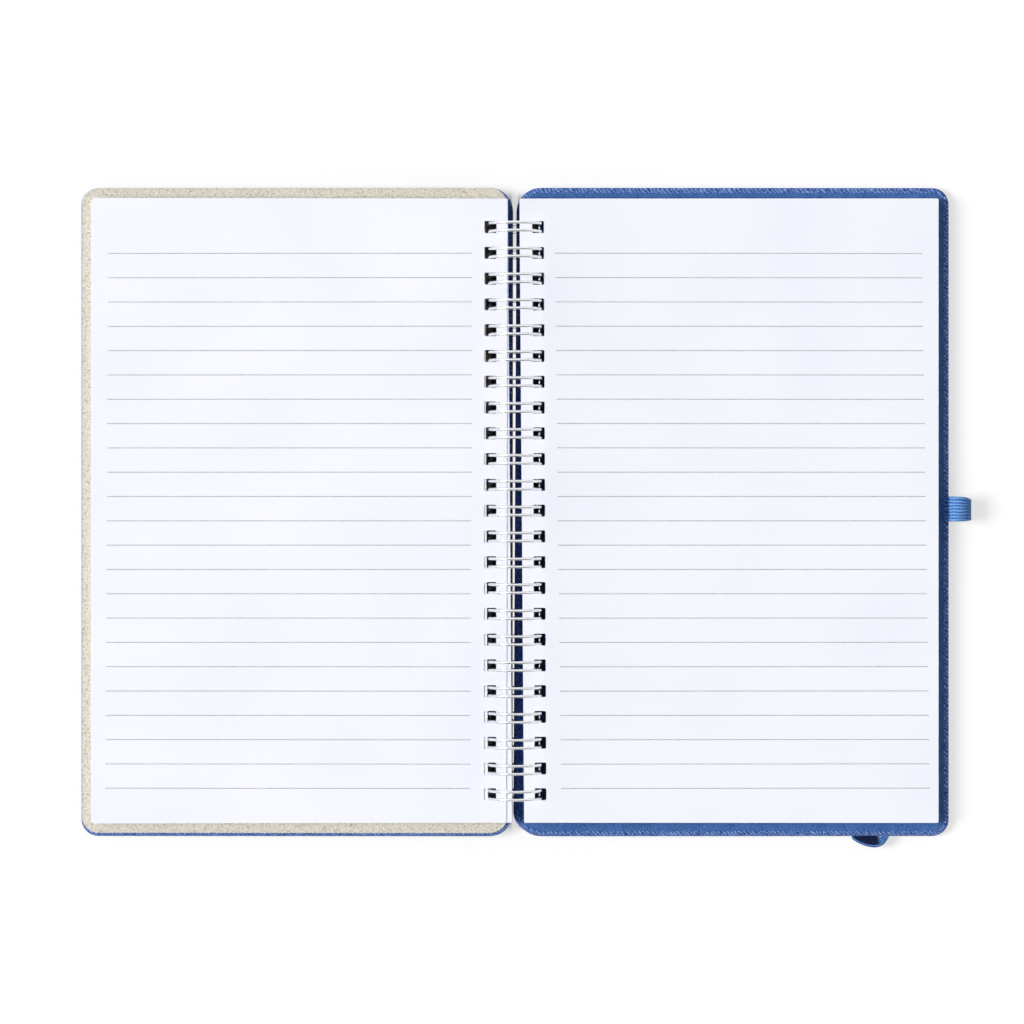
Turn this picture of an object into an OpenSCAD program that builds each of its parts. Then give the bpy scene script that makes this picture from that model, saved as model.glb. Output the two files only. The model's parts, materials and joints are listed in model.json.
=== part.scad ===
// Open A5 notebook: two cloth-covered boards and two blocks of ruled leaves on a twin-loop wire.
// X runs across the open book, Y along the spine to the top of the page, Z up from the table.
// The origin is the bottom centre of the whole book, as it lies open.

/* [Covers] */
// Width of one cover, spine edge to fore-edge
cover_w = 142.5; // [140:0.5:160]
// Height of a cover
cover_h = 213.6; // [211:0.1:217]
// Thickness of the bare board
board_t = 1.5; // [1.4:0.02:1.56]
// Thickness of the covering cloth
cloth_t = 0.3; // [0.2:0.02:0.34]
// Thickness of the lining sheet pasted inside a cover
lining_t = 0.2; // [0.1:0.02:0.24]
// Width of the cloth turned in over the edge of the board
turn_in = 15; // [12:0.5:18]
// Corner radius at the fore-edge
fore_corner = 5.5; // [3:0.5:10]
// Corner radius at the spine
spine_corner = 8; // [3:0.5:9]
// Cloth left bare beside both linings at the spine
spine_bare = 1.8; // [1.2:0.1:2]
// Cloth left bare round the back lining
back_bare = 1.7; // [1.6:0.1:2]
// Cloth left bare at the fore-edge of the front lining
front_bare = 0.3; // [0.2:0.1:1.5]
// Cloth left bare at the head of the front lining
front_bare_head = 0.1; // [0:0.1:1.5]
// Cloth left bare at the foot of the front lining
front_bare_foot = 1.1; // [0.2:0.1:1.5]
// Gap between the spine edges of the two covers
spine_gap = 1.1; // [0.9:0.1:1.2]
// Spine edge of a cover to its holes
cover_margin = 3.2; // [3.16:0.02:3.26]

/* [Leaves] */
// How far a cover stands out past the fore-edge of the leaves
fore_square = 4.05; // [3.6:0.05:8]
// How far a cover stands out past the head of the leaves
head_square = 4.05; // [2:0.05:4.5]
// How far a cover stands out past the foot of the leaves
foot_square = 4.65; // [2:0.05:5]
// Corner radius of a leaf
leaf_corner = 1.2; // [0.6:0.2:3.4]
// Thickness of the leaves turned to the left
left_stack = 4.4; // [1:0.1:4.5]
// Thickness of the leaves still on the right
right_stack = 3.4; // [1:0.1:3.5]
// Middle of the ring to the spine edge of the leaves
leaf_offset = 2; // [1.8:0.1:2.2]
// Spine edge of a leaf to its holes
leaf_margin = 3.6; // [3.4:0.1:3.8]

/* [Punched holes] */
// Side of a square hole
hole = 4; // [3.96:0.02:4.06]
// Corner radius of a hole
hole_corner = 0.4; // [0.2:0.05:0.5]

/* [Binding wire] */
// Number of double loops
loops = 23; // [5:1:23]
// Distance from one double loop to the next
pitch = 8.4667; // [8.2:0.05:8.5]
// Inside diameter of the closed ring
ring_d = 15.9; // [15.8:0.05:16]
// Thickness of the wire
wire_d = 0.95; // [0.85:0.05:1]
// Distance between the two wires of one loop
pair = 2.6; // [2.3:0.05:2.65]
// Radius of the bends between loops
bend = 1; // [0.8:0.05:1.2]
// Angle from the closed end of a loop to the wire that it shuts against
seam = 11; // [9:0.5:14]
// Length of the cut end past the first and the last loop
cut_end = 1.5; // [0.5:0.5:3]
// Space between the wire and the inner edge of a cover's hole
wire_play = 0.18; // [0.14:0.02:0.22]

/* [Pen loop] */
// Bore of the elastic loop
pen_bore = 6; // [5:0.1:6.2]
// Thickness of the elastic
pen_t = 0.7; // [0.5:0.05:0.75]
// Width of the elastic
pen_w = 8.2; // [6:0.2:12]
// Middle of the loop above the middle of the page
pen_y = 0.7; // [-60:0.1:60]
// Length of the two tails under the lining
pen_tail = 9; // [6:0.5:12]
// Thickness of the two tails pressed together
pen_tail_t = 1.2; // [1:0.05:1.25]
// Space between the loop and the table
pen_lift = 0.25; // [0.1:0.05:0.35]
// How far the loop leans in over the edge of the cover
pen_lean = 0.1; // [0:0.05:0.2]

/* [Closure strap] */
// Thickness of the elastic strap
strap_t = 0.7; // [0.6:0.02:0.74]
// Half the width of the strap behind the cover
strap_half = 3; // [2.5:0.1:4]
// Fore-edge to the middle of the strap
strap_in = 24; // [18:0.5:40]
// Length of the strap's ends under the lining
strap_tail = 11.5; // [8:0.5:14]
// Half the width of the strap's ends under the lining
strap_end = 2; // [1.6:0.1:2.4]
// Half the width of the strap where it goes round the head of the cover
strap_neck = 1.5; // [1.2:0.1:1.8]
// Middle of the strap to the middle of its end at the head
strap_side = 5.4; // [4:0.2:8]
// Middle of the strap to the middle of its end at the foot
fold_side = 2.8; // [2.4:0.1:3.2]
// Head or foot of the cover to where the strap lies straight
strap_run_in = 14; // [12:1:30]

/* [Fit] */
// Space between things that lie on each other unstuck
lay = 0.05; // [0.03:0.01:0.08]
// Space round the elastic where it is let into the board
let_in = 0.05; // [0.03:0.01:0.08]
// Space beside the strap in its slots
strap_play = 0.2; // [0.1:0.05:0.3]

/* [Hidden] */
through = 1;
cloth_colour = [0.27, 0.42, 0.66];
lining_colour = [0.24, 0.39, 0.62];
beige_colour = [0.86, 0.83, 0.76];
board_colour = [0.6, 0.58, 0.54];
paper_colour = [0.97, 0.97, 1];
wire_colour = [0.82, 0.83, 0.85];
elastic_colour = [0.3, 0.47, 0.75];

// Radii of the ring's wire, from the ring's middle
ring_in = ring_d / 2;
ring_mid = ring_in + wire_d / 2;
ring_out = ring_in + wire_d;

// Levels of a cover below the ring's middle: its inner corner at the holes rides on the wire.
cover_t = cloth_t + board_t + lining_t;
spine_x = spine_gap / 2;
fore_x = spine_x + cover_w;
hole_x = spine_x + cover_margin;
outer_face = -sqrt(pow(ring_in - wire_play, 2) - pow(hole_x, 2));
inner_face = outer_face + cover_t;
under_lining = inner_face - lining_t;

// The front cover slopes until its fore-edge is on the table, the back one until it is on the strap.
strap_x = fore_x - strap_in;
strap_edge = strap_x + strap_side + strap_neck;
front_tilt = asin(ring_out / norm([fore_x, outer_face])) + atan(outer_face / fore_x);
back_tilt = asin((ring_out - strap_t - lay) / norm([strap_edge, outer_face])) + atan(outer_face / strap_edge);

// Head and foot of a cover, with Y from the middle of the leaves and of the wire
leaf_h = cover_h - head_square - foot_square;
head = leaf_h / 2 + head_square;
foot = -leaf_h / 2 - foot_square;

// The wire between two loops lies on the back cover, and the last leaves lie on that wire.
jog_r = norm([ring_mid, bend]);
jog_angle = asin((inner_face + lay + wire_d / 2) / jog_r);
leg_end = jog_angle - atan(bend / ring_mid);
leg_start = jog_angle + seam + atan(pair / 2 / ring_mid);
leaf_far = fore_x - fore_square;
leaf_tilt = atan((wire_d + 2 * lay) / (leaf_far - ring_mid));
left_low = inner_face + lay;
right_low = (inner_face + lay + leaf_far * sin(leaf_tilt)) / cos(leaf_tilt);

// Middle of the pen loop, in the back cover's own slope
pen_out = pen_bore / 2 + pen_t;
pen_x = fore_x + pen_out - pen_lean;
pen_z = (pen_lift + pen_out - ring_out + pen_x * sin(back_tilt)) / cos(back_tilt);

// Height above the table of a point in the back cover's own slope
function above_table(x, z) = ring_out + z * cos(back_tilt) - x * sin(back_tilt);

// The strap as rows of its two edges, from its upper end, behind the cover, to the fold at the foot
lying = (strap_t + lay) / 2;
tucked = above_table(strap_x + (strap_side + fold_side) / 2, under_lining - let_in - strap_t / 2);
function flat_row(x, y, half, z) = [[x + half, y, z], [x - half, y, z]];
strap_rows = [
    flat_row(strap_side, head - strap_tail, strap_end, tucked),
    flat_row(strap_side, head - 3, strap_end, tucked),
    flat_row(strap_side, head - 1.4, strap_neck, tucked - 0.05),
    flat_row(strap_side, head - 0.65, strap_neck, tucked - 0.4),
    flat_row(strap_side, head - 0.5, strap_neck, tucked / 2 + 0.1),
    flat_row(strap_side, head - 0.9, strap_neck, lying + 0.15),
    flat_row(0.9 * strap_side, head - 2.2, strap_neck, lying),
    flat_row(0.6 * strap_side, head - 0.45 * strap_run_in, 0.8 * strap_half, lying),
    flat_row(0.1 * strap_side, head - strap_run_in, strap_half, lying),
    flat_row(0, 0, strap_half, lying),
    flat_row(0, foot + strap_run_in, strap_half, lying),
    [[0.5, foot + 4.2, lying], [-5.3, foot + 5.2, lying]],
    [[-1.4, foot + 1.2, lying], [-7.1, foot + 1.9, lying]],
    [[-2.8, foot + 0.1, lying], [-8, foot - 0.4, 0.6]],
    [[-3.3, foot - 0.3, 0.45], [-6.6, foot - 1.7, 1.9]],
    [[-2.4, foot - 0.5, 0.5], [-3.7, foot - 3, 2.8]],
    [[-0.8, foot - 0.6, 0.6], [-0.6, foot - 3.5, 3.2]],
    [[0.6, foot - 0.7, 1.1], [2, foot - 3.1, 3.3]],
    [[1.3, foot - 0.8, 1.9], [3.6, foot - 1.9, 3.1]],
    [[1.4, foot - 0.3, 2.2], [4.4, foot - 0.5, 2.4]],
    [[fold_side - strap_neck, foot + 1.2, tucked], [fold_side + strap_neck, foot + 1.2, tucked]],
    [[fold_side - strap_end, foot + 3.5, tucked], [fold_side + strap_end, foot + 3.5, tucked]],
    [[fold_side - strap_end, foot + strap_tail, tucked], [fold_side + strap_end, foot + strap_tail, tucked]]
];
strap_steps = 4;
function held(i) = strap_rows[max(0, min(len(strap_rows) - 1, i))];
function glide(a, b, c, d, t) = b + (c - a) * t / 2 + (2 * a - 5 * b + 4 * c - d) * t * t / 2
    + (3 * b - 3 * c + d - a) * t * t * t / 2;
strap_edges = [
    for (i = [0:len(strap_rows) - 2], k = [0:strap_steps - 1])
        [for (e = [0, 1]) glide(held(i - 1)[e], held(i)[e], held(i + 1)[e], held(i + 2)[e], k / strap_steps)],
    held(len(strap_rows) - 1)
];
function strap_mid(i) = (strap_edges[i][0] + strap_edges[i][1]) / 2;
function strap_thick(i) = let(
        before = strap_mid(max(0, i - 1)),
        after = strap_mid(min(len(strap_edges) - 1, i + 1)),
        across = cross(after - before, strap_edges[i][1] - strap_edges[i][0])
    ) across / norm(across) * strap_t / 2;
strap_points = [
    for (i = [0:len(strap_edges) - 1])
        for (p = [[0, 1], [1, 1], [1, -1], [0, -1]])
            [strap_x, 0, 0] + strap_edges[i][p[0]] + p[1] * strap_thick(i)
];
strap_faces = [
    [0, 1, 2, 3],
    for (i = [0:len(strap_edges) - 2], k = [0:3]) [4 * i + k, 4 * i + 4 + k, 4 * i + (k + 1) % 4],
    for (i = [0:len(strap_edges) - 2], k = [0:3])
        [4 * i + (k + 1) % 4, 4 * i + 4 + k, 4 * i + 4 + (k + 1) % 4],
    [for (k = [3:-1:0]) 4 * (len(strap_edges) - 1) + k]
];

// The origin: middle of the outline, with the pen loop and the strap's fold counted in
left_x = -(fore_x * cos(front_tilt) + under_lining * sin(front_tilt));
right_x = pen_x * cos(back_tilt) + pen_z * sin(back_tilt) + pen_out;
low_y = min([for (p = strap_points) p.y]);
middle = [(left_x + right_x) / 2, (head + low_y) / 2];

module on_table() {
    translate([-middle.x, -middle.y, 0]) children();
}

// The right half's own slope, with the ring's middle as its origin
module back_slope(more = 0) {
    on_table() translate([0, 0, ring_out]) rotate([0, back_tilt + more, 0]) children();
}

// The left half is drawn as a right half and mirrored.
module front_slope() {
    on_table() translate([0, 0, ring_out]) rotate([0, -front_tilt, 0]) mirror([1, 0, 0]) children();
}

module rounded_sheet(x0, x1, h, r0, r1) {
    translate([x0 + r0, -h / 2]) square([x1 - x0 - r0 - r1, h]);
    translate([x0, -h / 2 + r0]) square([2 * r0, h - 2 * r0]);
    translate([x1 - 2 * r1, -h / 2 + r1]) square([2 * r1, h - 2 * r1]);
    for (s = [-1, 1]) {
        translate([x0 + r0, s * (h / 2 - r0)]) circle(r = r0, $fn = 64);
        translate([x1 - r1, s * (h / 2 - r1)]) circle(r = r1, $fn = 64);
    }
}

module cover_outline(inset) {
    translate([0, (head + foot) / 2])
        rounded_sheet(spine_x + inset, fore_x - inset, cover_h - 2 * inset,
            max(spine_corner - inset, 1), max(fore_corner - inset, 1));
}

module punched(x) {
    corner_steps = 3;
    side = hole / 2 - hole_corner;
    ring = [for (q = [0:3], k = [0:corner_steps]) let(a = q * 90 + k * 90 / corner_steps)
        [(q == 0 || q == 3 ? side : -side) + hole_corner * cos(a), (q < 2 ? side : -side) + hole_corner * sin(a)]];
    for (i = [0:loops - 1]) translate([x + hole / 2, (i - (loops - 1) / 2) * pitch]) polygon(ring);
}

module slab(z0, z1) {
    translate([0, 0, z0]) linear_extrude(z1 - z0) children();
}

// Where the elastic ends are let into the back board, open to the lining and to the edge
module elastic_pockets() {
    pen_from = fore_x - pen_tail - let_in;
    pen_floor = under_lining - pen_tail_t - let_in;
    translate([pen_from, pen_y - pen_w / 2 - let_in, pen_floor])
        cube([pen_tail + through, pen_w + 2 * let_in, pen_tail_t + through]);
    strap_floor = under_lining - strap_t - 3 * let_in;
    strap_depth = strap_t + through;
    strap_len = strap_tail + 2 * let_in;
    slot_half = strap_end + strap_play;
    neck_half = strap_neck + strap_play;
    neck_in = 1.6;
    for (end = [[strap_side, head - strap_len], [fold_side, foot - through]])
        translate([strap_x + end[0] - slot_half, end[1], strap_floor])
            cube([2 * slot_half, strap_len + through, strap_depth]);
    translate([strap_x + strap_side - neck_half, head - neck_in, outer_face - through])
        cube([2 * neck_half, neck_in + through, cover_t + 2 * through]);
}

// The board is thinner under the turned-in cloth, so that the lining lies flat.
module board() {
    difference() {
        union() {
            slab(outer_face + cloth_t, under_lining - cloth_t) cover_outline(cloth_t);
            slab(under_lining - cloth_t, under_lining) cover_outline(turn_in);
        }
        slab(outer_face, inner_face) punched(hole_x);
    }
}

module cloth() {
    difference() {
        slab(outer_face, under_lining) difference() {
            cover_outline(0);
            punched(hole_x);
        }
        slab(outer_face + cloth_t, under_lining - cloth_t) cover_outline(cloth_t);
        slab(under_lining - cloth_t, under_lining + through) cover_outline(turn_in);
    }
}

module lining(fore_in, head_in, foot_in) {
    slab(under_lining, inner_face) difference() {
        translate([0, (head - head_in + foot + foot_in) / 2])
            rounded_sheet(spine_x + spine_bare, fore_x - fore_in, cover_h - head_in - foot_in,
                max(spine_corner - spine_bare, 1), max(fore_corner - fore_in, 1));
        punched(hole_x);
    }
}

module leaves(low, stack) {
    slab(low, low + stack) difference() {
        rounded_sheet(leaf_offset, leaf_far, leaf_h, leaf_corner, leaf_corner);
        punched(leaf_offset + leaf_margin);
    }
}

module front_cover_board() {
    color(board_colour) front_slope() board();
}

module front_cover_cloth() {
    color(cloth_colour) front_slope() cloth();
}

module front_endpaper() {
    color(beige_colour) front_slope() lining(front_bare, front_bare_head, front_bare_foot);
}

module left_leaves() {
    color(paper_colour) front_slope() leaves(left_low, left_stack);
}

module right_leaves() {
    color(paper_colour) back_slope(leaf_tilt) leaves(right_low, right_stack);
}

module back_cover_board() {
    color(board_colour) back_slope() difference() {
        board();
        elastic_pockets();
    }
}

module back_cover_cloth() {
    color(cloth_colour) back_slope() difference() {
        cloth();
        elastic_pockets();
    }
}

module back_endpaper() {
    color(lining_colour) back_slope() lining(back_bare, back_bare, back_bare);
}

// A place on the ring at an angle from the page's plane, with X outwards and Z along the wire
module on_ring(angle) {
    rotate([0, -angle, 0]) translate([ring_mid, 0, 0]) children();
}

module leg() {
    short = 0.1;
    rotate([90, 0, 0])
        rotate_extrude(angle = 360 + leg_end - leg_start - 2 * short, start = leg_start + short, $fn = 96)
            translate([ring_mid, 0]) circle(d = wire_d, $fn = 16);
}

module bow(r, from, sweep) {
    rotate([0, 90, 0]) rotate_extrude(angle = sweep - 2, start = from + 1, $fn = 32)
        translate([r, 0]) circle(d = wire_d, $fn = 16);
}

// Closes the joint between two stretches of the wire, a hair thicker than the wire itself
module joint() {
    sphere(d = wire_d + 0.02, $fn = 24);
}

// One wire: each double loop goes round from the back cover to its closed end and back again.
module twin_loop_wire() {
    turn = pair / 2 + bend;
    short = 0.02;
    color(wire_colour) back_slope() for (i = [0:loops - 1])
        translate([0, (i - (loops - 1) / 2) * pitch, 0]) {
            for (s = [-1, 1]) translate([0, s * pair / 2, 0]) leg();
            on_ring(leg_start) {
                bow(pair / 2, -90, 180);
                for (s = [-1, 1]) translate([0, s * pair / 2, 0]) joint();
            }
            on_ring(leg_end) {
                translate([0, turn, 0]) bow(bend, 180, 90);
                translate([0, -turn, 0]) bow(bend, 90, 90);
                for (s = [-1, 1]) translate([0, s * pair / 2, 0]) joint();
                for (s = [-1, 1]) translate([0, s * turn, bend]) joint();
                jog = i < loops - 1 ? pitch - 2 * turn - 2 * short : cut_end;
                translate([0, turn + short, bend]) rotate([-90, 0, 0]) cylinder(d = wire_d, h = jog, $fn = 16);
                if (i == 0)
                    translate([0, -turn - short, bend]) rotate([90, 0, 0]) cylinder(d = wire_d, h = cut_end, $fn = 16);
            }
        }
}

// Elastic doubled into a loop, with its two tails pressed together under the lining
module pen_loop() {
    color(elastic_colour) back_slope() difference() {
        union() {
            translate([pen_x, pen_y + pen_w / 2, pen_z]) rotate([90, 0, 0]) cylinder(r = pen_out, h = pen_w, $fn = 96);
            translate([fore_x - pen_tail, pen_y - pen_w / 2, under_lining - pen_tail_t])
                cube([pen_x - fore_x + pen_tail, pen_w, pen_tail_t]);
        }
        translate([pen_x, pen_y + pen_w, pen_z]) rotate([90, 0, 0]) cylinder(d = pen_bore, h = 2 * pen_w, $fn = 96);
    }
}

module closure_strap() {
    color(elastic_colour) on_table() polyhedron(strap_points, strap_faces);
}

front_cover_board();
front_cover_cloth();
front_endpaper();
left_leaves();
right_leaves();
back_cover_board();
back_cover_cloth();
back_endpaper();
twin_loop_wire();
pen_loop();
closure_strap();
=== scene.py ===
import json
import math
import random

import bpy
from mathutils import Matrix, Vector, geometry


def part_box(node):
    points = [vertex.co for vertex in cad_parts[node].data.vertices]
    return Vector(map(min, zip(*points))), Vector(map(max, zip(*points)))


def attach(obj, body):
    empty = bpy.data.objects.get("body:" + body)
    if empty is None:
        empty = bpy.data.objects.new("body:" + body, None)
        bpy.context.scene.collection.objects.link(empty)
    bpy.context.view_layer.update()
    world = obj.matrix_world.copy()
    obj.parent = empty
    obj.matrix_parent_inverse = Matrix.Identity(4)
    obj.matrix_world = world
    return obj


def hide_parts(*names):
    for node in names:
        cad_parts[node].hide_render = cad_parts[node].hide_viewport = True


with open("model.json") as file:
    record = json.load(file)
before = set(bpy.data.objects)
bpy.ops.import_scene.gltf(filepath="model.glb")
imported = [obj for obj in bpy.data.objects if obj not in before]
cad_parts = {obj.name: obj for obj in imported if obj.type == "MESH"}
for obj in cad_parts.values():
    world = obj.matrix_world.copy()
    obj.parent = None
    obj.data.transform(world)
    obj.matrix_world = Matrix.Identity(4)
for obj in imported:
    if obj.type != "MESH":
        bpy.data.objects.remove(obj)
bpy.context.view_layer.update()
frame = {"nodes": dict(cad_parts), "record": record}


# The cover boards
# Grey pasteboard 1.5 mm thick, cut to shape and punched with the rest. Only the walls of the holes
# show it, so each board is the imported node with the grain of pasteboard.

MM = 0.001


class Value:
    """A number that changes over a surface. Sums on it add maths nodes to its finish."""

    def __init__(self, finish, socket):
        self.finish = finish
        self.socket = socket

    def maths(self, operation, *terms):
        return self.finish.add("ShaderNodeMath", {"operation": operation}, dict(enumerate(terms)))

    def __add__(self, other):
        return self.maths("ADD", self, other)

    def __radd__(self, other):
        return self.maths("ADD", other, self)

    def __sub__(self, other):
        return self.maths("SUBTRACT", self, other)

    def __rsub__(self, other):
        return self.maths("SUBTRACT", other, self)

    def __mul__(self, other):
        return self.maths("MULTIPLY", self, other)

    def __rmul__(self, other):
        return self.maths("MULTIPLY", other, self)

    def __truediv__(self, other):
        return self.maths("DIVIDE", self, other)

    def __mod__(self, other):
        return self.maths("FLOORED_MODULO", self, other)

    def floor(self):
        return self.maths("FLOOR", self)

    def sine(self):
        return self.maths("SINE", self)

    def size(self):
        return self.maths("ABSOLUTE", self)

    def above(self, level):
        return self.maths("GREATER_THAN", self, level)

    def largest(self, other):
        return self.maths("MAXIMUM", self, other)

    def between(self, low, high):
        """Rises from 0 at low to 1 at high."""
        settings = {"interpolation_type": "SMOOTHSTEP", "clamp": True}
        inputs = {"Value": self, "From Min": low, "From Max": high}
        return self.finish.add("ShaderNodeMapRange", settings, inputs)


class Finish:
    """A node material with one Principled shader."""

    def __init__(self, name, **constants):
        self.material = bpy.data.materials.new(name)
        self.material.use_nodes = True
        self.tree = self.material.node_tree
        self.shader = self.tree.nodes["Principled BSDF"]
        for socket, value in constants.items():
            self.shader.inputs[socket.replace("_", " ")].default_value = value

    def add(self, kind, settings, inputs, *outputs):
        """Adds a node: its settings, then values or links for its sockets. Gives its first output, or
        the ones that are named."""
        node = self.tree.nodes.new(kind)
        for name, value in settings.items():
            if name == "stops":
                self.set_stops(node.color_ramp, value)
            else:
                setattr(node, name, value)
        for key, value in inputs.items():
            if isinstance(value, Value):
                self.tree.links.new(value.socket, node.inputs[key])
            else:
                node.inputs[key].default_value = value
        if outputs:
            return [Value(self, node.outputs[name]) for name in outputs]
        return Value(self, next(socket for socket in node.outputs if socket.enabled))

    def set_stops(self, ramp, stops):
        while len(ramp.elements) < len(stops):
            ramp.elements.new(1.0)
        for element, (position, colour) in zip(ramp.elements, stops):
            element.position = position
            element.color = (*colour, 1)

    def place(self):
        """The three coordinates of a point on the object, in millimetres."""
        coordinates = self.add("ShaderNodeTexCoord", {}, {}, "Object")[0]
        return [part / MM for part in self.split(coordinates)]

    def split(self, vector):
        return self.add("ShaderNodeSeparateXYZ", {}, {0: vector}, "X", "Y", "Z")

    def join(self, x, y, z):
        return self.add("ShaderNodeCombineXYZ", {}, {0: x, 1: y, 2: z})

    def noise(self, place, scale, detail, roughness=0.5):
        inputs = {"Vector": place, "Scale": scale, "Detail": detail, "Roughness": roughness}
        return self.add("ShaderNodeTexNoise", {}, inputs)

    def mix(self, factor, first, second):
        """Mixes two colours, each a colour or the output of another mix."""
        first_socket, second_socket = 6, 7
        inputs = {"Factor": factor, first_socket: opaque(first), second_socket: opaque(second)}
        return self.add("ShaderNodeMix", {"data_type": "RGBA"}, inputs)

    def ramp(self, factor, *stops):
        return self.add("ShaderNodeValToRGB", {"stops": stops}, {0: factor})

    def bump(self, height, depth):
        return self.add("ShaderNodeBump", {}, {"Height": height, "Distance": depth * MM})

    def use(self, **links):
        for socket, value in links.items():
            self.tree.links.new(value.socket, self.shader.inputs[socket.replace("_", " ")])
        return self.material


def opaque(colour):
    """A plain colour with its alpha. The output of a node stays as it is."""
    return colour if isinstance(colour, Value) else (*colour, 1)


def srgb(*levels):
    """A colour given in red, green and blue levels of 0 to 255, as shares of light."""
    shares = [level / 255 for level in levels]
    return tuple(c / 12.92 if c <= 0.04045 else ((c + 0.055) / 1.055) ** 2.4 for c in shares)


def board_finish():
    finish = Finish("grey_board", Roughness=0.9)
    x, y, z = finish.place()
    grain = finish.noise(finish.join(x, y, z * 4), 1.4, 4, 0.6)
    colour = finish.ramp(grain, (0.3, srgb(120, 112, 102)), (0.7, srgb(160, 152, 140)))
    return finish.use(Base_Color=colour, Normal=finish.bump(grain, 0.05))


def give_finish(node, material):
    """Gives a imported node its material, and gives the node back."""
    piece = frame["nodes"][node]
    piece.data.materials.clear()
    piece.data.materials.append(material)
    return piece


board_material = board_finish()
for board in ("front_cover_board", "back_cover_board"):
    give_finish(board, board_material)


# The cover cloth
# Blue book cloth of a coarse twill, glued round each board, drawn over its edges and turned in
# under the lining. Its edges are round, and it is punched with the board.

# A place in a half of the book is in millimetres from the middle of the ring: x outwards from the
# spine, y up the page and z up. Both halves turn about the ring.
RIGHT = 1
LEFT = -1

# The cover and its square holes
cover_w = 142.5
cover_head = 106.5
cover_foot = -107.1
spine_edge = 0.55
fore_edge = spine_edge + cover_w
fore_corner = 5.5
spine_corner = 8.0
cover_t = 2.0
lining_t = 0.2
hole_side = 4.0
hole_corner = 0.4
cover_hole = 3.75
loop_count = 23
loop_pitch = 8.4667

# The ring of wire, and how the covers hang on it by their holes
ring_in = 7.95
ring_mid = 8.425
ring_out = 8.9
wire_play = 0.18
outer_face = -math.sqrt((ring_in - wire_play) ** 2 - cover_hole ** 2)
under_lining = outer_face + cover_t - lining_t
play = 0.05

# The strap, which the back cover lies on
strap_t = 0.7
strap_side = 5.4
strap_neck = 1.5
strap_x = fore_edge - 24.0
strap_edge = strap_x + strap_side + strap_neck

# The cloth
cloth_t = 0.3
edge_round = 0.85
edge_steps = 6
turned_in = 3.0
askew_w = 3.0
cover_corner_steps = 10
hole_corner_steps = 2
thread = 0.34

# The middle of the ring
axis = Vector(frame["record"]["behaviour"]["joints"][0]["pos_m"])
leaves_low, leaves_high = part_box("left_leaves")
middle_y = (leaves_low.y + leaves_high.y) / 2


def slope_to(x, height):
    """The slope of a cover that hangs on the ring and touches something at x, that far below the ring."""
    return math.asin(height / math.hypot(x, outer_face)) + math.atan(outer_face / x)


slopes = {LEFT: slope_to(fore_edge, ring_out), RIGHT: slope_to(strap_edge, ring_out - strap_t - play)}


def laid(side, slope, point):
    """Turns a place in one half of the book into a place in the row's frame, in metres."""
    x, y, z = point
    out = x * math.cos(slope) + z * math.sin(slope)
    up = z * math.cos(slope) - x * math.sin(slope)
    return Vector((axis.x + side * out * MM, middle_y + y * MM, axis.z + up * MM))


def rounded_outline(x0, x1, height, r0, r1, steps):
    """The outline of a sheet, round at its corners: r0 at the spine, r1 at the fore-edge."""
    corners = (
        (x1 - r1, height / 2 - r1, r1, 0),
        (x0 + r0, height / 2 - r0, r0, 90),
        (x0 + r0, r0 - height / 2, r0, 180),
        (x1 - r1, r1 - height / 2, r1, 270),
    )
    points = []
    for cx, cy, r, start in corners:
        for k in range(steps + 1):
            turn = math.radians(start + 90 * k / steps)
            points.append((cx + r * math.cos(turn), cy + r * math.sin(turn)))
    return points


def punched_holes(x, wider=0.0):
    """The square holes of one sheet, as outlines, with their inner edges at x."""
    side = hole_side + 2 * wider
    corner = hole_corner + wider
    shape = rounded_outline(x - wider, x - wider + side, side, corner, corner, hole_corner_steps)
    middles = [(i - (loop_count - 1) / 2) * loop_pitch for i in range(loop_count)]
    return [[(px, py + middle) for px, py in shape] for middle in middles]


def filled(loops):
    """Fills an outline with holes in it: gives triangles over the points of all the loops."""
    flat = [[Vector((x, y, 0)) for x, y in loop] for loop in loops]
    triangles = geometry.tessellate_polygon(flat)
    points = [p for loop in loops for p in loop]
    made = []
    for a, b, c in triangles:
        (ax, ay), (bx, by), (cx, cy) = points[a], points[b], points[c]
        turn = (bx - ax) * (cy - ay) - (by - ay) * (cx - ax)
        made.append((a, b, c) if turn > 0 else (a, c, b))
    return points, made


def new_piece(name, points, faces, finishes, body, face_finish=None, smooth=False):
    """Makes a mesh object of points in the row's frame, with its finishes, riding on a body."""
    mesh = bpy.data.meshes.new(name)
    mesh.from_pydata(points, [], faces)
    for finish in finishes:
        mesh.materials.append(finish)
    if face_finish:
        mesh.polygons.foreach_set("material_index", face_finish)
    mesh.polygons.foreach_set("use_smooth", [smooth] * len(faces))
    mesh.update()
    piece = bpy.data.objects.new(name, mesh)
    bpy.context.collection.objects.link(piece)
    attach(piece, body)
    return piece


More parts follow.
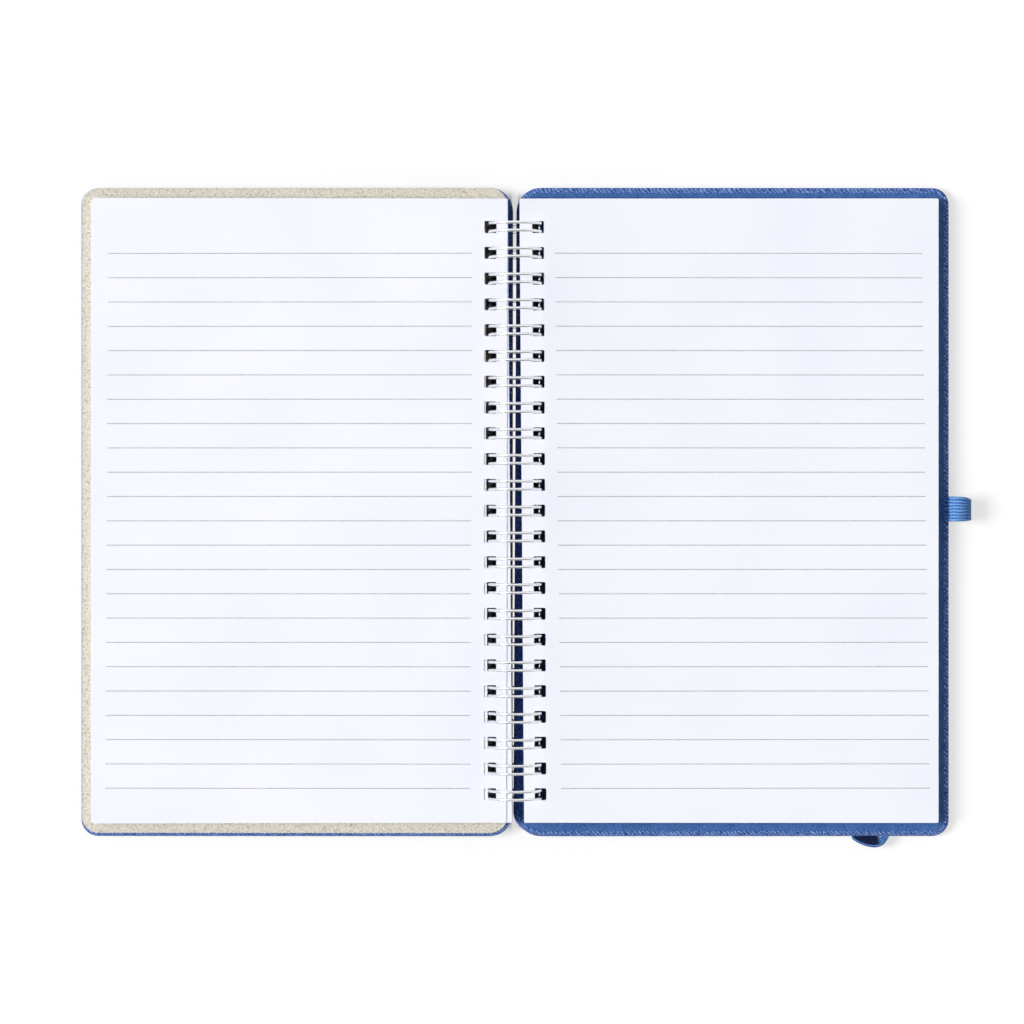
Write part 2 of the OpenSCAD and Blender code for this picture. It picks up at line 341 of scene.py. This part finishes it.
def cloth_finish():
    """A two-and-two twill: pale threads one way over dark threads the other way. It has painted shade
    at the spine, between the leaves."""
    finish = Finish("blue_cloth", Roughness=0.9, Specular_IOR_Level=0.15)
    x, y, z = finish.place()
    drift = finish.noise(finish.join(x, y, z), 0.4, 2) - 0.5
    warp = (x + z * 0.9 + drift * 1.3) / thread
    weft = (y + z * 0.9 + drift * 1.1) / thread
    pale_over = ((warp.floor() + weft.floor()) % 4).above(1.5)
    warp_round = (warp * math.pi).sine().size()
    weft_round = (weft * math.pi).sine().size()
    height = (warp_round * pale_over).largest(weft_round * (1 - pale_over) * 0.8)
    slub = finish.noise(finish.join(warp.floor() * 0.7, weft * 0.55, 0), 1.0, 1)
    patch = finish.noise(finish.join(x, y, z), 0.8, 1)
    # Painted shade: the cloth by the spine, between the blocks of leaves, is painted darker for their shade
    near_spine = 1 - (x - axis.x / MM).size().between(4.5, 8.5)
    spine_painted_shade = near_spine * (1 - (y - middle_y / MM).size().between(99.5, 103.5))
    pale = pale_over * warp_round * (slub * 2.2 - 0.5)
    dark = (1 - pale_over) * weft_round * 0.2
    tone = (pale + dark + patch * 0.5 - 0.2) * (1 - spine_painted_shade * 0.6)
    colour = finish.ramp(
        tone,
        (0.0, srgb(20, 42, 108)),
        (0.2, srgb(70, 108, 188)),
        (0.45, srgb(126, 164, 232)),
        (0.8, srgb(190, 214, 255)),
    )
    return finish.use(Base_Color=colour, Normal=finish.bump(height + slub * 0.3, 0.16))


def edge_profile():
    """From the outer face round the edge to the turned-in rim, and back inside: inset and level."""
    r = edge_round
    turns = [math.radians(90 * k / edge_steps) for k in range(edge_steps + 1)]
    low = [(r - r * math.sin(a), outer_face + r - r * math.cos(a)) for a in turns]
    high = [(r - r * math.cos(a), under_lining - r + r * math.sin(a)) for a in turns]
    inner = r - cloth_t
    back_high = [(r - inner * math.cos(a), under_lining - r + inner * math.sin(a)) for a in reversed(turns)]
    back_low = [(r - inner * math.sin(a), outer_face + r - inner * math.cos(a)) for a in reversed(turns)]
    rim = [(turned_in, under_lining), (turned_in, under_lining - cloth_t)]
    return low + high + rim + back_high + back_low


def cover_outline(inset, head_lie, foot_lie):
    """The outline of a cover, whose spine edge lies off by so much at its head and at its foot."""
    height = cover_head - cover_foot - 2 * inset
    ends = (spine_edge + inset, fore_edge - inset)
    corners = (spine_corner - inset, fore_corner - inset)
    placed = []
    for x, y in rounded_outline(*ends, height, *corners, cover_corner_steps):
        y += (cover_head + cover_foot) / 2
        foot = (cover_head - y) / (cover_head - cover_foot)
        askew = (head_lie + (foot_lie - head_lie) * foot) * max(0.0, 1 - (x - spine_edge) / askew_w)
        placed.append((x + askew, y))
    return placed


def cover_cloth(name, node, side, body, material, head_lie, foot_lie):
    """The cloth of one cover: its wrapped rim, its outer face and the walls of its holes."""
    profile = edge_profile()
    rings = [cover_outline(inset, head_lie, foot_lie) for inset, _ in profile]
    count = len(rings[0])
    points = [(x, y, level) for ring, (_, level) in zip(rings, profile) for x, y in ring]
    faces = []
    for r in range(len(rings) - 1):
        for k in range(count):
            near, far = r * count + k, r * count + (k + 1) % count
            faces.append((near, far, far + count, near + count))
    holes = punched_holes(cover_hole)
    flat, triangles = filled([rings[0]] + holes)
    first = len(points)
    inside = first + len(flat) - count
    last_ring = (len(rings) - 1) * count
    points += [(x, y, outer_face) for x, y in flat[count:]]
    points += [(x, y, outer_face + cloth_t) for x, y in flat[count:]]
    for a, b, c in triangles:
        low = [v if v < count else first + v - count for v in (a, b, c)]
        high = [last_ring + v if v < count else inside + v - count for v in (a, b, c)]
        faces.append(tuple(reversed(low)))
        faces.append(tuple(high))
    start = 0
    for hole in holes:
        for k in range(len(hole)):
            a, b = start + k, start + (k + 1) % len(hole)
            faces.append((first + b, first + a, inside + a, inside + b))
        start += len(hole)
    placed = [laid(side, slopes[side], p) for p in points]
    if side == LEFT:
        faces = [tuple(reversed(f)) for f in faces]
    piece = new_piece(name, placed, faces, [material], body, smooth=True)
    piece.data.set_sharp_from_angle(angle=math.radians(50))
    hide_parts(node)


cloth_material = cloth_finish()
cover_cloth("front_cloth", "front_cover_cloth", LEFT, "front_cover", cloth_material, 0.15, 0.35)
cover_cloth("back_cloth", "back_cover_cloth", RIGHT, "back_cover", cloth_material, 0.05, -1.05)


# The linings
# A sheet of paper pasted inside each cover over the turned-in cloth: beige with fine flecks in the
# front cover, smooth blue in the back cover.


def beige_finish():
    finish = Finish("beige_lining_paper", Roughness=0.8, Specular_IOR_Level=0.3)
    x, y, z = finish.place()
    place = finish.join(x, y, z)
    cloud = finish.noise(place, 1.4, 1)
    fleck = finish.noise(place, 1.7, 1)
    fibre = finish.noise(finish.join(x * 0.6, y * 1.6, z), 1.9, 1)
    ground = finish.ramp(cloud, (0.3, srgb(206, 200, 186)), (0.7, srgb(232, 226, 213)))
    dark = finish.mix(fleck.between(0.56, 0.67) * 0.55, ground, srgb(146, 138, 118))
    light = finish.mix(fibre.between(0.56, 0.7) * 0.6, dark, srgb(244, 240, 228))
    return finish.use(Base_Color=light, Normal=finish.bump(fibre + fleck * 0.5, 0.04))


def blue_lining_finish():
    finish = Finish("blue_lining_paper", Roughness=0.65, Specular_IOR_Level=0.25)
    x, y, z = finish.place()
    place = finish.join(x, y, z)
    cloud = finish.noise(place, 0.3, 3)
    grain = finish.noise(finish.join(x * 2.5, y * 0.8, z), 1.2, 3, 0.6)
    tone = cloud * 0.3 + grain * 0.7
    colour = finish.ramp(tone, (0.36, srgb(46, 88, 148)), (0.64, srgb(78, 118, 180)))
    return finish.use(Base_Color=colour, Normal=finish.bump(grain, 0.04))


give_finish("front_endpaper", beige_finish())
give_finish("back_endpaper", blue_lining_finish())


# The leaves
# Sheets of white writing paper, round at their corners, with square holes. Each lies a little out
# of line with the next, as far as the wire's play in its holes lets it.

leaf_w = 137.0
leaf_h = 204.9
leaf_offset = 2.0
leaf_margin = 3.6
spine_leaf_corner = 0.4
fore_leaf_corner = {LEFT: 1.5, RIGHT: 0.5}
leaf_t = 0.1
leaf_fill = 0.94
slip_across = (-0.14, 0.08)
slip_up = (-0.06, 0.06)
corner_steps = 5
rim_w = 0.7
row_x = leaf_offset + leaf_margin + hole_side + 1.0
hole_borders = [(n - loop_count / 2) * loop_pitch for n in range(loop_count + 1)]
left_stack = 4.4
right_stack = 3.4
wire_under = 1.05
wire_lift = math.atan(wire_under / (leaf_offset + leaf_w - ring_mid))
leaf_slopes = {LEFT: slopes[LEFT], RIGHT: slopes[RIGHT] + wire_lift}
left_low = outer_face + cover_t + play
right_low = (left_low + (leaf_offset + leaf_w) * math.sin(wire_lift)) / math.cos(wire_lift)
line_w = 0.26
line_gap = 7.99
line_count = 23
first_line = 84.7
line_lift = 0.012

# How far the open leaf stands up from its block
loose = {LEFT: 0.12, RIGHT: 0.04}

# How far the spine edge, the holes and the fore-edge of a leaf lie off, at its head and at its foot
top_left_lie = ((0.45, 0.85), (0.45, 0.6), 0.45)
left_lie = ((0.5, -1.0), (0.45, -0.65), 0.25)
right_lie = ((-0.35, 1.2), (0.0, 0.9), 0.3)
up_the_page = 0.15

# How far the head and the foot of a leaf spread towards its fore-edge
spread = {LEFT: 0.36, RIGHT: 0.2}


def paper_finish():
    finish = Finish("writing_paper", Roughness=0.8, Specular_IOR_Level=0.3)
    x, y, z = finish.place()
    place = finish.join(x, y, z)
    cloud = finish.noise(place, 0.03, 0)
    tooth = finish.noise(place, 3.0, 0)
    colour = finish.ramp(cloud, (0.3, srgb(243, 245, 254)), (0.7, srgb(247, 248, 255)))
    return finish.use(Base_Color=colour, Normal=finish.bump(tooth, 0.02))


def cut_edge_finish(name, dark, light):
    finish = Finish(name, Roughness=1.0, Specular_IOR_Level=0.1)
    x, y, z = finish.place()
    layers = finish.noise(finish.join(x * 0.4, y * 0.4, z * 9), 1.0, 2)
    return finish.use(Base_Color=finish.ramp(layers, (0.3, dark), (0.7, light)))


def ink_finish():
    finish = Finish("ruling_ink", Roughness=0.7)
    x, y, z = finish.place()
    grain = finish.noise(finish.join(x, y, z), 0.5, 2)
    colour = finish.ramp(grain, (0.3, srgb(158, 160, 164)), (0.7, srgb(186, 188, 192)))
    return finish.use(Base_Color=colour)


def shifted(x, y, lie):
    """Where a point of a leaf comes to lie, when the leaf isn't quite in line with its block."""
    foot = 0.5 - y / leaf_h
    spine, holes, fore = lie
    if x < leaf_offset + leaf_margin / 2:
        return x + spine[0] + (spine[1] - spine[0]) * foot
    if x < leaf_w / 2:
        return x + holes[0] + (holes[1] - holes[0]) * foot
    return x + fore


def spread_out(x, y, side):
    """The place up the page of a point of a leaf that is wider at its fore-edge."""
    return y * (1 + spread[side] * x / (leaf_w * leaf_h / 2))


def sheet_outline(side, inset=0.0):
    """The outline of a leaf, with a point at the fore-edge and at the spine between each two holes."""
    x0, x1 = leaf_offset + inset, leaf_offset + leaf_w - inset
    spine_r = max(spine_leaf_corner - inset, 0.1)
    fore_r = max(fore_leaf_corner[side] - inset, 0.1)
    corners = rounded_outline(x0, x1, leaf_h - 2 * inset, spine_r, fore_r, corner_steps)
    fore_foot = 3 * (corner_steps + 1)
    spine_foot = 2 * (corner_steps + 1)
    up = [(x1, y) for y in hole_borders]
    down = [(x0, y) for y in reversed(hole_borders)]
    return corners[fore_foot:] + up + corners[:spine_foot] + down + corners[spine_foot:fore_foot]


def whole_face(outline, holes):
    """The face of a leaf in rows, one for each hole: its points, and its faces over them."""
    points = outline + [(row_x, y) for y in hole_borders] + [p for hole in holes for p in hole]
    number = {point: i for i, point in enumerate(points)}
    faces = []
    x0, x1 = leaf_offset, leaf_offset + leaf_w
    for low, high, hole in zip(hole_borders, hole_borders[1:], holes):
        row = [(row_x, low), (x1, low), (x1, high), (row_x, high)]
        faces.append([number[p] for p in row])
        beside = [(x0, low), (row_x, low), (row_x, high), (x0, high)]
        flat, triangles = filled([beside, hole])
        faces += [[number[flat[v]] for v in triangle] for triangle in triangles]
    ends = (hole_borders[-1], hole_borders[0])
    head = [p for p in outline if p[1] >= ends[0]] + [(row_x, ends[0])]
    foot_parts = [p for p in outline if p[1] <= ends[1]]
    spine_part = [p for p in foot_parts if p[0] < row_x]
    fore_part = [p for p in foot_parts if p[0] > row_x]
    foot = spine_part + fore_part + [(row_x, ends[1])]
    faces += [[number[p] for p in head], [number[p] for p in foot]]
    return points, faces


def leaf_block(name, side, body, low, stack, lie, top_lie):
    """A block of leaves: the outer ones whole, the others as the rims that show between them. Its
    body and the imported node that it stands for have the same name."""
    paper, trimmed, punched = range(3)
    count = round(stack / leaf_t)
    sheet_t = stack / count
    outline, inner_outline = sheet_outline(side), sheet_outline(side, rim_w)
    holes = punched_holes(leaf_offset + leaf_margin)
    wide_holes = punched_holes(leaf_offset + leaf_margin, rim_w)
    whole, whole_faces = whole_face(outline, holes)
    shake = random.Random(side + 40)
    points, faces, finish_of = [], [], []
    for sheet in range(count):
        on_top = sheet == count - 1
        is_whole = sheet in (0, count - 2, count - 1)
        slip_x = 0 if on_top else shake.uniform(*slip_across)
        slip_y = 0 if on_top else shake.uniform(*slip_up)
        sheet_lie = top_lie if on_top else lie
        start_level = low + sheet * sheet_t + (loose[side] if on_top else 0)
        first = len(points)
        edges = [outline] + holes
        rims = [] if is_whole else [inner_outline] + wide_holes
        flat = whole if is_whole else [p for loop in edges + rims for p in loop]
        for level in (start_level, start_level + leaf_fill * sheet_t):
            for x, y in flat:
                moved_y = spread_out(x, y, side) + slip_y + up_the_page
                points.append((shifted(x, y, sheet_lie) + slip_x, moved_y, level))
        upper = first + len(flat)
        loops = [len(outline)] + [len(hole) for hole in holes]
        start = 0
        across = sum(loops)
        if is_whole:
            for face in whole_faces:
                faces.append([first + v for v in reversed(face)])
                faces.append([upper + v for v in face])
                finish_of += [paper, paper]
        for index, size in enumerate(loops):
            if is_whole and index == 1:
                # In a whole leaf, the points between its rows come before those of the holes
                start += len(hole_borders)
            for k in range(size):
                a, b = start + k, start + (k + 1) % size
                wall = (first + a, first + b, upper + b, upper + a)
                rim = () if is_whole else (a, b, b + across, a + across)
                if index:
                    wall, rim = wall[::-1], rim[::-1]
                faces.append(wall)
                finish_of.append(punched if index else trimmed)
                if rim:
                    faces.append([first + v for v in reversed(rim)])
                    faces.append([upper + v for v in rim])
                    finish_of += [paper, paper]
            start += size
    placed = [laid(side, leaf_slopes[side], p) for p in points]
    if side == LEFT:
        faces = [tuple(reversed(f)) for f in faces]
    finishes = [paper_material, trimmed_edge_material, punched_edge_material]
    piece = new_piece(name, placed, faces, finishes, body, finish_of)
    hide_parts(body)


def ruling(name, side, body, low, stack, head_line, foot_line):
    """The ruled lines on the open page of a block and on the back of its last leaf."""
    points, faces = [], []
    top = low + stack - (1 - leaf_fill) * leaf_t + loose[side]
    for level, way in ((top + line_lift, 1), (low - line_lift, -1)):
        for n in range(line_count):
            y = first_line - n * line_gap
            x0, x1 = [a + (b - a) * n / (line_count - 1) for a, b in zip(head_line, foot_line)]
            first = len(points)
            for px, py in ((x0, -1), (x1, -1), (x1, 1), (x0, 1)):
                points.append((px, y + py * line_w / 2, level))
            quad = (first, first + 1, first + 2, first + 3)
            faces.append(quad if way * side > 0 else tuple(reversed(quad)))
    placed = [laid(side, leaf_slopes[side], p) for p in points]
    piece = new_piece(name, placed, faces, [ink_material], body)


paper_material = paper_finish()
# Painted shade: the cut edges of the sheets are painted greyer than the paper for the shade between them
trimmed_edge_material = cut_edge_finish("trimmed_edge_painted_shade", srgb(200, 200, 206), srgb(224, 224, 229))
# Painted shade: the walls of the holes are white paper, painted nearly black for the shade in the holes
punched_edge_material = cut_edge_finish("punched_edge_painted_shade", srgb(16, 16, 20), srgb(44, 44, 50))
ink_material = ink_finish()
leaf_block("left_sheets", LEFT, "left_leaves", left_low, left_stack, left_lie, top_left_lie)
leaf_block("right_sheets", RIGHT, "right_leaves", right_low, right_stack, right_lie, right_lie)
ruling("left_ruling", LEFT, "left_leaves", left_low, left_stack, (14.0, 133.7), (14.7, 134.7))
ruling("right_ruling", RIGHT, "right_leaves", right_low, right_stack, (13.1, 133.9), (15.2, 136.5))


# The binding wire
# One bright wire bent into double loops and closed through the holes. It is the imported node, with
# the faint drawing marks of plated wire.


def wire_finish():
    finish = Finish("plated_wire", Metallic=1.0, Roughness=0.2)
    x, y, z = finish.place()
    marks = finish.noise(finish.join(x, y * 3, z), 0.9, 3, 0.6)
    colour = finish.ramp(marks, (0.3, srgb(226, 228, 231)), (0.7, srgb(242, 243, 245)))
    return finish.use(Base_Color=colour, Normal=finish.bump(marks, 0.01))


wire = give_finish("twin_loop_wire", wire_finish())


# The elastic pen loop and the closure strap
# Ribbed blue elastic. The loop is doubled and its tails are held under the lining at the fore-edge.
# The strap runs behind the back cover, and its lower end stands out in a fold under the bottom edge.

groove = 0.14
steps_per_rib = 8
pen_x = 146.65
pen_y = 0.7
pen_z = -3.385
pen_r = 3.35
pen_w = 8.2
pen_tail = 9.0
pen_ribs = 8
FOOT_SIDE, HEAD_SIDE = -1, 1
pen_narrowing = {FOOT_SIDE: 0.5, HEAD_SIDE: 1.1}
pen_turn_from = 188
pen_turn = 322
pen_steps = 48
tail_t = 0.6
strap_band_t = 0.6
strap_half = 3.0
strap_tail = 11.5
strap_end = 2.0
fold_side = 2.8
strap_run_in = 14.0
strap_ribs = 7
fold_rows = (12, 17)
glide_steps = 6


def elastic_finish(name, ribs, fold=None):
    """Ribs run along the band. Its own map gives the place on it: 0 to 1 across it, and millimetres
    along it. The inside of a fold has painted shade."""
    finish = Finish(name, Roughness=0.8, Specular_IOR_Level=0.2)
    across, along, _ = finish.split(finish.add("ShaderNodeUVMap", {"uv_map": "band"}, {}))
    sway = finish.noise(finish.join(across * 3, along * 0.35, 0), 1.0, 0) - 0.5
    # Painted shade: the band is painted darker in the grooves between its ribs than on their crowns
    rib = ((across + sway * 0.07) * (math.pi * ribs)).sine().size()
    strand = finish.noise(finish.join(across * ribs * 2.5, along * 0.5, 0), 1.3, 1)
    stitch = (along * 5.5 + strand * 2).sine() * 0.5 + 0.5
    tone = rib * 0.75 + strand * 0.35 + stitch * 0.06 - 0.1
    colour = finish.ramp(
        tone,
        (0.18, srgb(44, 82, 148)),
        (0.45, srgb(72, 116, 182)),
        (0.75, srgb(96, 142, 204)),
        (0.98, srgb(122, 166, 222)),
    )
    # Painted shade: the inside of the fold is painted dark blue for the shade in it, apart from its outer
    # edge
    if fold:
        start, end = fold
        inside = along.between(start - 1, start + 1) * (1 - along.between(end - 1, end + 1))
        inside = inside * (1 - across.between(0.84, 0.92))
        colour = finish.mix(inside * (1 - rib * 0.06), colour, srgb(2, 12, 50))
    return finish.use(Base_Color=colour, Normal=finish.bump(rib + strand * 0.4, 0.12))


def lengths_along(rows):
    """How far each row of a band is from its first row, in millimetres."""
    middles = [(one + other) / 2 for one, other in rows]
    lengths = [0.0]
    for before, after in zip(middles, middles[1:]):
        lengths.append(lengths[-1] + (after - before).length / MM)
    return lengths


def elastic(name, node, rows, thickness, ribs, material):
    """A ribbed band through rows of its two edges. Each row is two places in the row's frame."""
    across = ribs * steps_per_rib
    shape = []
    for face in (1, -1):
        for k in range(across + 1):
            u = k / across if face > 0 else 1 - k / across
            rib = abs(math.sin(math.pi * u * ribs))
            from_edge = min(1, ribs * min(u, 1 - u))
            shape.append((u, face * (thickness / 2 - groove * (1 - rib) * from_edge)))
    points, lengths = [], lengths_along(rows)
    for i, (one, other) in enumerate(rows):
        before = rows[max(0, i - 1)]
        after = rows[min(len(rows) - 1, i + 1)]
        along = after[0] + after[1] - before[0] - before[1]
        out = along.cross(other - one).normalized()
        points += [one.lerp(other, u) + out * level * MM for u, level in shape]
    size = len(shape)
    faces = []
    for i in range(len(rows) - 1):
        for k in range(size):
            a, b = i * size + k, i * size + (k + 1) % size
            faces.append((a, a + size, b + size, b))
    faces.append(tuple(range(size)))
    faces.append(tuple(reversed(range((len(rows) - 1) * size, len(rows) * size))))
    piece = new_piece(name, points, faces, [material], "back_cover", smooth=True)
    band = piece.data.uv_layers.new(name="band")
    for loop in piece.data.loops:
        i, k = divmod(loop.vertex_index, size)
        band.data[loop.index].uv = (shape[k][0], lengths[i])
    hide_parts(node)


def pen_rows():
    """Out of the edge of the board, over and round the loop, and back in under itself."""
    upper = under_lining - tail_t / 2
    lower = upper - tail_t
    path = [(fore_edge - pen_tail, upper), (fore_edge - 2, upper), (fore_edge - 0.5, upper + 0.02)]
    path += [(fore_edge + 0.1, upper + 0.35), (fore_edge + 0.24, upper + 0.8)]
    for k in range(pen_steps + 1):
        turn = math.radians(pen_turn_from - pen_turn * k / pen_steps)
        path.append((pen_x + pen_r * math.cos(turn), pen_z + pen_r * math.sin(turn)))
    path += [(fore_edge + 0.5, lower - 0.03), (fore_edge - 0.5, lower)]
    path += [(fore_edge - 2, lower), (fore_edge - pen_tail, lower)]
    rows = []
    for x, z in path:
        outer_end = max(0.0, (x - fore_edge) / (pen_x + pen_r - fore_edge))
        row = []
        for way in (FOOT_SIDE, HEAD_SIDE):
            half = pen_w / 2 - pen_narrowing[way] * outer_end ** 4
            row.append(laid(RIGHT, slopes[RIGHT], (x, pen_y + way * half, z)))
        rows.append(row)
    return rows


def strap_row(x0, y0, z0, x1, y1, z1):
    """One row of the strap: the places of its two edges, x from its middle and z from the table."""
    return [(x0, y0, z0), (x1, y1, z1)]


def flat_row(x, y, half, z):
    return strap_row(x + half, y, z, x - half, y, z)


def strap_rows():
    """Down from under the lining at the head, along the back of the cover, and up over its foot."""
    head, foot = cover_head, cover_foot
    lying = (strap_t + play) / 2
    middle = strap_x + (strap_side + fold_side) / 2
    level = under_lining - play - strap_t / 2
    tucked = ring_out + level * math.cos(slopes[RIGHT]) - middle * math.sin(slopes[RIGHT])
    held = [
        flat_row(strap_side, head - strap_tail, strap_end, tucked),
        flat_row(strap_side, head - 3, strap_end, tucked),
        flat_row(strap_side, head - 1.4, strap_neck, tucked - 0.05),
        flat_row(strap_side, head - 0.65, strap_neck, tucked - 0.4),
        flat_row(strap_side, head - 0.5, strap_neck, tucked / 2 + 0.1),
        flat_row(strap_side, head - 0.9, strap_neck, lying + 0.15),
        flat_row(0.9 * strap_side, head - 2.2, strap_neck, lying),
        flat_row(0.6 * strap_side, head - 0.45 * strap_run_in, 0.8 * strap_half, lying),
        flat_row(0.1 * strap_side, head - strap_run_in, strap_half, lying),
        flat_row(0, 0, strap_half, lying),
        flat_row(0, foot + strap_run_in, strap_half, lying),
        strap_row(0.5, foot + 4.2, lying, -5.3, foot + 5.2, lying),
        strap_row(-1.4, foot + 1.2, lying, -7.1, foot + 1.9, lying),
        strap_row(-2.8, foot + 0.6, lying, -8, foot - 0.4, 0.6),
        strap_row(-3.3, foot + 0.5, lying, -6.6, foot - 1.7, 1.9),
        strap_row(-2.4, foot + 0.4, lying, -3.7, foot - 3, 2.8),
        strap_row(-0.8, foot + 0.4, lying, -0.8, foot - 3.5, 3.2),
        strap_row(0.6, foot + 0.3, 0.5, 1.5, foot - 3.0, 3.3),
        strap_row(1.3, foot - 0.4, 1.6, 3.0, foot - 1.7, 3.1),
        strap_row(1.4, foot - 0.2, 2.4, 4.1, foot - 0.3, 2.5),
        flat_row(fold_side, foot + 1.2, -strap_neck, tucked),
        flat_row(fold_side, foot + 3.5, -strap_end, tucked),
        flat_row(fold_side, foot + strap_tail, -strap_end, tucked),
    ]
    placed = [
        [Vector((axis.x + (strap_x + x) * MM, middle_y + y * MM, z * MM)) for x, y, z in row]
        for row in held
    ]
    rows = []
    last = len(placed) - 1
    for i in range(last):
        four = (placed[max(0, i - 1)], placed[i], placed[i + 1], placed[min(last, i + 2)])
        for k in range(glide_steps):
            rows.append([glide(*edge, k / glide_steps) for edge in zip(*four)])
    rows.append(placed[last])
    return rows


def glide(a, b, c, d, t):
    """A place between b and c, on a smooth curve through a, b, c and d."""
    return (
        b
        + (c - a) * (t / 2)
        + (2 * a - 5 * b + 4 * c - d) * (t * t / 2)
        + (3 * b - 3 * c + d - a) * (t * t * t / 2)
    )


strap_places = strap_rows()
strap_lengths = lengths_along(strap_places)
fold_lengths = [strap_lengths[row * glide_steps] for row in fold_rows]
pen_material = elastic_finish("pen_loop_elastic", pen_ribs)
strap_material = elastic_finish("strap_elastic", strap_ribs, fold_lengths)
elastic("pen_loop_band", "pen_loop", pen_rows(), tail_t, pen_ribs, pen_material)
elastic("strap_band", "closure_strap", strap_places, strap_band_t, strap_ribs, strap_material)


# The table
# A white table top that the book lies on. It keeps a soft shadow of the book. Its glow has painted
# shade under the right half and the ring, as far as 20 mm left of the spine, and painted light
# in the gap between the covers.

table_drop = 0.25 * MM
table_half = 3.0
table_tone = 0.40
table_glow = 0.63
gap_painted_light_share = 0.4


def seen(finish):
    """1 for what is looked at, straight or in metal or glass, and 0 for the light on things."""
    rays = ("Is Camera Ray", "Is Glossy Ray", "Is Transmission Ray")
    straight, mirrored, through = finish.add("ShaderNodeLightPath", {}, {}, *rays)
    return straight.largest(mirrored).largest(through)


def table_finish():
    finish = Finish("white_table", Roughness=1.0, Specular_IOR_Level=0.0, Emission_Strength=1.0)
    finish.shader.inputs["Base Color"].default_value = (table_tone, table_tone, table_tone, 1)
    x, y, z = finish.place()
    from_spine = x - axis.x / MM
    from_middle = (y - middle_y / MM).size()
    beside_gap = from_spine.size().between(0.6, 1.6)
    # Painted shade: no glow under the right half and the ring, fading out 10 to 20 mm left of the spine
    book_painted_shade = beside_gap * from_spine.between(-20, -10) * (1 - from_spine.between(137, 142))
    book_painted_shade = book_painted_shade * (1 - from_middle.between(101, 106))
    # Painted light: the table glows brighter along the gap between the covers
    gap_painted_light = (1 - beside_gap) * (1 - from_middle.between(78, 98))
    level = table_glow * (1 - book_painted_shade) * (1 + gap_painted_light_share * gap_painted_light)
    glow = finish.mix(seen(finish) * level, (0, 0, 0), (1, 1, 1))
    return finish.use(Emission_Color=glow)


corner_ways = ((-1, -1), (1, -1), (1, 1), (-1, 1))
table_corners = [(x * table_half, y * table_half, -table_drop) for x, y in corner_ways]
table_mesh = bpy.data.meshes.new("table_top")
table_mesh.from_pydata(table_corners, [], [(0, 1, 2, 3)])
table_mesh.materials.append(table_finish())
table = bpy.data.objects.new("table_top", table_mesh)
bpy.context.collection.objects.link(table)


# The camera and the light
# The camera looks straight down by the middle of the ring. A soft low lamp on the left gives the
# shadows, and a white surround fills them.

camera_height = 1.75
camera_off_x = -0.978
camera_off_y = -0.286
frame_w = 0.3379
sensor = 36.0

camera_data = bpy.data.cameras.new("camera")
camera_data.sensor_width = sensor
camera_data.lens = sensor * camera_height / frame_w
camera_data.clip_end = 20
camera = bpy.data.objects.new("camera", camera_data)
camera_place = (axis.x + camera_off_x * MM, middle_y + camera_off_y * MM, camera_height)
camera.location = camera_place
bpy.context.collection.objects.link(camera)
bpy.context.scene.camera = camera

lamp_height = 38.0
lamp_width = 26.0
lamp_share = 0.62
fill_share = 0.895
dark_share = 0.85

lamp_data = bpy.data.lights.new("window", "SUN")
lamp_data.energy = lamp_share * math.pi / math.sin(math.radians(lamp_height))
lamp_data.angle = math.radians(lamp_width)
lamp = bpy.data.objects.new("window", lamp_data)
lamp.rotation_euler = (0, math.radians(lamp_height - 90), 0)
bpy.context.collection.objects.link(lamp)

# The thin wire doesn't dim the lamp for the page under it
shading = bpy.data.collections.new("shading")
lamp.light_linking.blocker_collection = shading
shading.objects.link(wire)
shading.collection_objects[0].light_linking.link_state = "EXCLUDE"


class Surround(Finish):
    """The white room round the table. Bright metal mirrors it, with a dark side towards the foot."""

    def __init__(self, world):
        world.use_nodes = True
        self.tree = world.node_tree
        self.shader = self.tree.nodes["Background"]
        self.shader.inputs["Color"].default_value = (1, 1, 1, 1)

    def light(self):
        direction = self.add("ShaderNodeTexCoord", {}, {}, "Generated")[0]
        x, y, z = self.split(direction)
        rays = ("Is Camera Ray", "Is Glossy Ray", "Diffuse Depth")
        straight, glossy, bounces = self.add("ShaderNodeLightPath", {}, {}, *rays)
        mirrored = glossy * (1 - bounces.above(0.5))
        dark_side = (0 - y).between(0.2, 0.55) * (1 - z.between(0.7, 0.95)) * dark_share
        fill = fill_share * (1 - z.between(0.5, 0.8))
        level = mirrored * (1 - dark_side) + (1 - mirrored) * fill
        strength = straight + (1 - straight) * level
        self.tree.links.new(strength.socket, self.shader.inputs["Strength"])


bpy.context.scene.world = bpy.data.worlds.new("surround")
Surround(bpy.context.scene.world).light()

bpy.context.scene.view_settings.view_transform = "Standard"
